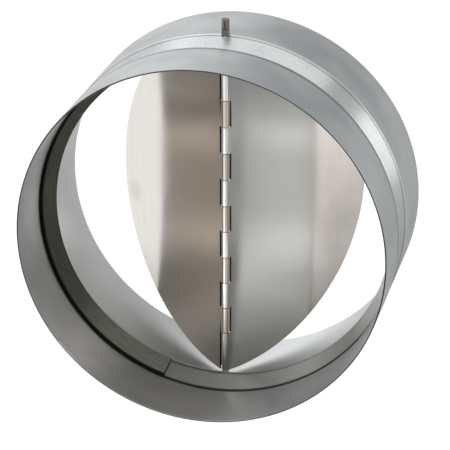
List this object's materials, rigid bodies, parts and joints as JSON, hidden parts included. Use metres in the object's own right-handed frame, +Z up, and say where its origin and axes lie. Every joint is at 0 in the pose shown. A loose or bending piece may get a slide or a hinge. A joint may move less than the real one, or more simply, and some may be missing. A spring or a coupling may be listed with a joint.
{
  "type": "duct backdraft damper",
  "caption": "Round sheet-metal collar with an inward bead and two hinged half-disc blades that swing open with the air flow and close against back flow.",
  "frame": {"origin": "on the duct axis, at the rim of the inlet end", "axes": "+Y along the duct axis, the way the air flows; +Z up along the hinge; +X to the right seen from the inlet"},
  "size_m": [0.199, 0.1327, 0.2164],
  "materials": {
    "galvanised_sheet": "satin galvanised",
    "strip_sheet": "satin galvanised",
    "blade_sheet": "bright brushed",
    "pin_wire": "drawn wire"
  },
  "bodies": {
    "frame": {"collar": "galvanised_sheet", "seat_strip": "strip_sheet"},
    "left_leaf": {"left_blade": "blade_sheet"},
    "right_leaf": {"right_blade": "blade_sheet", "hinge_pin": "pin_wire", "pin_ferrules": "pin_wire"}
  },
  "joints": [
    {"name": "left_swing", "type": "hinge", "parent": "frame", "child": "left_leaf", "pos_m": [0, 0.06025, 0], "axis": [0, 0, -1], "range_deg": [-40.9, 47.1]},
    {"name": "right_swing", "type": "hinge", "parent": "frame", "child": "right_leaf", "pos_m": [0, 0.06025, 0], "axis": [0, 0, 1], "range_deg": [-49.7, 38.3]}
  ]
}
